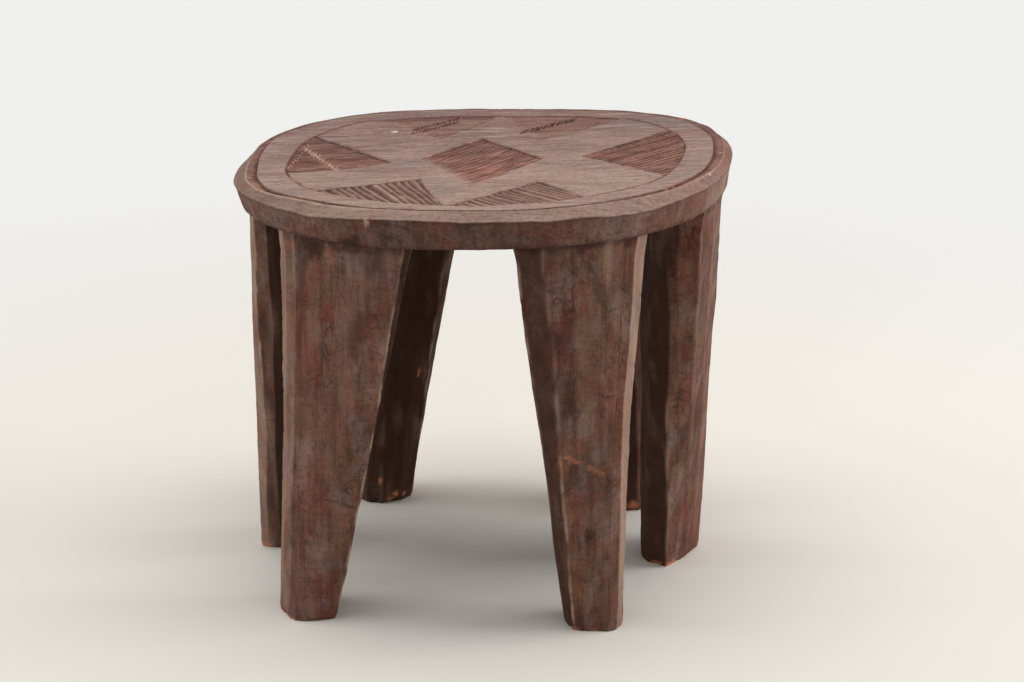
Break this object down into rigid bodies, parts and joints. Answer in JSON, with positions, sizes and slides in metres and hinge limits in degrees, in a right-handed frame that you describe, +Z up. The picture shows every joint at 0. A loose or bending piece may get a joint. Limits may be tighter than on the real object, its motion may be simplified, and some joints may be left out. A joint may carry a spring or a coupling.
{
  "type": "stool",
  "caption": "Low carved wooden stool: a rounded seat with a raised lip, a grooved rim and hatched panels carved in its top, on stout faceted legs splayed round the edge, for sitting on.",
  "frame": {"origin": "on the floor, under the middle of the stool's bounding box", "axes": "+X to the right as the picture shows the stool, along the seat's longer way; +Y to the back; +Z up"},
  "size_m": [0.3508, 0.326, 0.3043],
  "materials": {
    "seat_wood": "dark reddish-brown hardwood, rubbed greyish on the raised faces, with a dull waxed sheen",
    "leg_wood": "the same wood stained darker, with adze facets, dark smudges and rubbed edges"
  },
  "bodies": {
    "root": {"seat": "seat_wood", "leg_front_left": "leg_wood", "leg_front_right": "leg_wood", "leg_right": "leg_wood", "leg_back_right": "leg_wood", "leg_back_left": "leg_wood", "leg_left": "leg_wood"}
  },
  "joints": []
}
